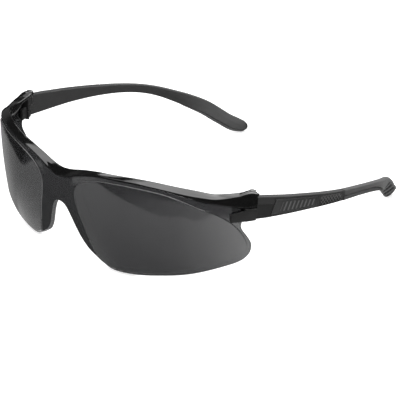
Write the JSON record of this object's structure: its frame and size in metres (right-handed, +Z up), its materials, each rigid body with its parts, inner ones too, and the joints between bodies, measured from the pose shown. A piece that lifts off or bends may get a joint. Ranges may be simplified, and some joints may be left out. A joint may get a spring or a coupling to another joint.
{
  "type": "safety glasses",
  "caption": "Wraparound half-frame safety glasses with a smoke one-piece shield lens, a slim glossy brow bar and folding temples with soft rubbery tips.",
  "frame": {"origin": "centre of the overall bounding box in plan, on the table plane under the lens and temple tips", "axes": "+Z up as the glasses stand open on a table, +X towards the wearer's left, +Y from the lens back towards the wearer's ears"},
  "size_m": [0.1464, 0.1382, 0.0415],
  "materials": {
    "smoke_lens": "smooth see-through grey smoke polycarbonate, high gloss",
    "gloss_black": "polished black moulded plastic",
    "matte_black": "fine spark-eroded texture, satin to matte dark grey",
    "inlay_grey": "dark grey panel with fine slanted ribs",
    "soft_grip": "soft-touch grey elastomer, matte",
    "screw_steel": "small turned steel screw"
  },
  "bodies": {
    "front": {"lens": "smoke_lens", "brow_bar": "gloss_black", "hinge_lug_left": "matte_black", "hinge_lug_right": "matte_black", "hinge_screw_left": "screw_steel", "hinge_screw_right": "screw_steel"},
    "left_temple": {"temple_arm_left": "matte_black", "side_inlay_left": "inlay_grey", "temple_grip_left": "soft_grip"},
    "right_temple": {"temple_arm_right": "matte_black", "side_inlay_right": "inlay_grey", "temple_grip_right": "soft_grip"}
  },
  "joints": [
    {"name": "left_fold", "type": "hinge", "parent": "front", "child": "left_temple", "pos_m": [0.0662, -0.02892, 0.03635], "axis": [0, 0.1822, 0.9833], "range_deg": [0, 90]},
    {"name": "right_fold", "type": "hinge", "parent": "front", "child": "right_temple", "pos_m": [-0.0662, -0.02892, 0.03635], "axis": [0, -0.1822, -0.9833], "range_deg": [0, 78]}
  ]
}
